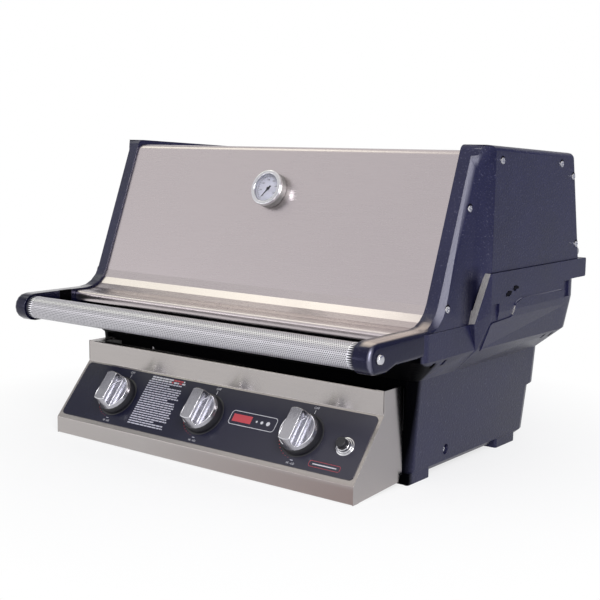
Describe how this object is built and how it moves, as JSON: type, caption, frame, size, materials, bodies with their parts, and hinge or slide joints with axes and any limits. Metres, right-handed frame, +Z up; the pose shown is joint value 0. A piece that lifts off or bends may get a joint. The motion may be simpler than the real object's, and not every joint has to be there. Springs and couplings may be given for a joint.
{
  "type": "built-in gas grill",
  "caption": "Built-in gas grill: cast firebox, hinged stainless hood with a full-width handle, sloping knob panel, tube burners, cooking grids and a slide-out grease tray.",
  "frame": {"origin": "under the middle of the grill, on the plane of the feet", "axes": "+X to the right seen from the front, +Y to the back, +Z up"},
  "size_m": [0.7332, 0.5904, 0.4732],
  "materials": {
    "powder_coat": "cast, textured black powder coat",
    "hood_steel": "brushed stainless",
    "plain_steel": "plain steel",
    "handle_mesh": "raised mesh",
    "handle_core": "mill finish",
    "chrome": "polished",
    "dial": "white printed face",
    "pointer": "matt black",
    "lens": "clear",
    "brass": "turned",
    "panel_steel": "bright rolled stainless",
    "label_film": "satin printed film",
    "black_plastic": "moulded",
    "burner_steel": "heat-tinted stainless",
    "ceramic": "glazed white",
    "cooking_grid": "satin stainless bars"
  },
  "bodies": {
    "firebox": {"firebox_casting": "powder_coat", "control_panel": "panel_steel", "label_plate": "label_film", "panel_bracket_left": "plain_steel", "panel_bracket_right": "plain_steel", "hinge_pin_left": "plain_steel", "hinge_pin_right": "plain_steel", "valve_body_left": "brass", "valve_body_center": "brass", "valve_body_right": "brass", "burner_left": "burner_steel", "burner_center": "burner_steel", "burner_right": "burner_steel", "heat_plate_left": "burner_steel", "heat_plate_center": "burner_steel", "heat_plate_right": "burner_steel", "gas_manifold": "burner_steel", "gas_inlet_fitting": "brass", "igniter_ring": "chrome", "igniter_body": "black_plastic", "ignition_electrode": "ceramic", "cooking_grid_left": "cooking_grid", "cooking_grid_right": "cooking_grid"},
    "lid": {"lid_end_cap_left": "powder_coat", "lid_end_cap_right": "powder_coat", "hood_front_sheet": "hood_steel", "hood_rear_sheet": "hood_steel", "handle_tube": "handle_mesh", "handle_core": "handle_core", "handle_bolt_left": "chrome", "handle_bolt_right": "chrome", "thermometer_case": "chrome", "thermometer_dial": "dial", "thermometer_glass": "lens", "thermometer_nut": "brass"},
    "pointer": {"thermometer_pointer": "pointer"},
    "valve_plug_left": {"valve_plug_left": "brass"},
    "knob_left": {"knob_left": "chrome", "valve_stem_left": "brass"},
    "valve_plug_center": {"valve_plug_center": "brass"},
    "knob_center": {"knob_center": "chrome", "valve_stem_center": "brass"},
    "valve_plug_right": {"valve_plug_right": "brass"},
    "knob_right": {"knob_right": "chrome", "valve_stem_right": "brass"},
    "igniter_button": {"igniter_button": "black_plastic"},
    "grease_tray": {"grease_tray": "plain_steel"}
  },
  "joints": [
    {"name": "lid_hinge", "type": "hinge", "parent": "firebox", "child": "lid", "pos_m": [0, 0.28525, 0.304], "axis": [-1, 0, 0], "range_deg": [0, 88]},
    {"name": "pointer_turn", "type": "hinge", "parent": "lid", "child": "pointer", "pos_m": [0, -0.06469, 0.39766], "axis": [0, 0.9363, -0.3513], "range_deg": [0, 260], "stiffness_Nm_per_rad": 0.01},
    {"name": "knob_left_turn", "type": "hinge", "parent": "firebox", "child": "valve_plug_left", "pos_m": [-0.1866, -0.21592, 0.06829], "axis": [0, -0.7644, 0.6447], "range_deg": [0, 200]},
    {"name": "knob_left_push", "type": "slide", "parent": "valve_plug_left", "child": "knob_left", "axis": [0, 0.7644, -0.6447], "range_m": [0, 0.0026], "stiffness_N_per_m": 1500, "springref_m": -0.004},
    {"name": "knob_center_turn", "type": "hinge", "parent": "firebox", "child": "valve_plug_center", "pos_m": [-0.0021, -0.21592, 0.06829], "axis": [0, -0.7644, 0.6447], "range_deg": [0, 200]},
    {"name": "knob_center_push", "type": "slide", "parent": "valve_plug_center", "child": "knob_center", "axis": [0, 0.7644, -0.6447], "range_m": [0, 0.0026], "stiffness_N_per_m": 1500, "springref_m": -0.004},
    {"name": "knob_right_turn", "type": "hinge", "parent": "firebox", "child": "valve_plug_right", "pos_m": [0.1824, -0.21592, 0.06829], "axis": [0, -0.7644, 0.6447], "range_deg": [0, 200]},
    {"name": "knob_right_push", "type": "slide", "parent": "valve_plug_right", "child": "knob_right", "axis": [0, 0.7644, -0.6447], "range_m": [0, 0.0026], "stiffness_N_per_m": 1500, "springref_m": -0.004},
    {"name": "igniter_push", "type": "slide", "parent": "firebox", "child": "igniter_button", "axis": [0, 0.7644, -0.6447], "range_m": [0, 0.004], "stiffness_N_per_m": 600, "springref_m": -0.002},
    {"name": "grease_tray_slide", "type": "slide", "parent": "firebox", "child": "grease_tray", "axis": [0, 1, 0], "range_m": [0, 0.26]}
  ]
}
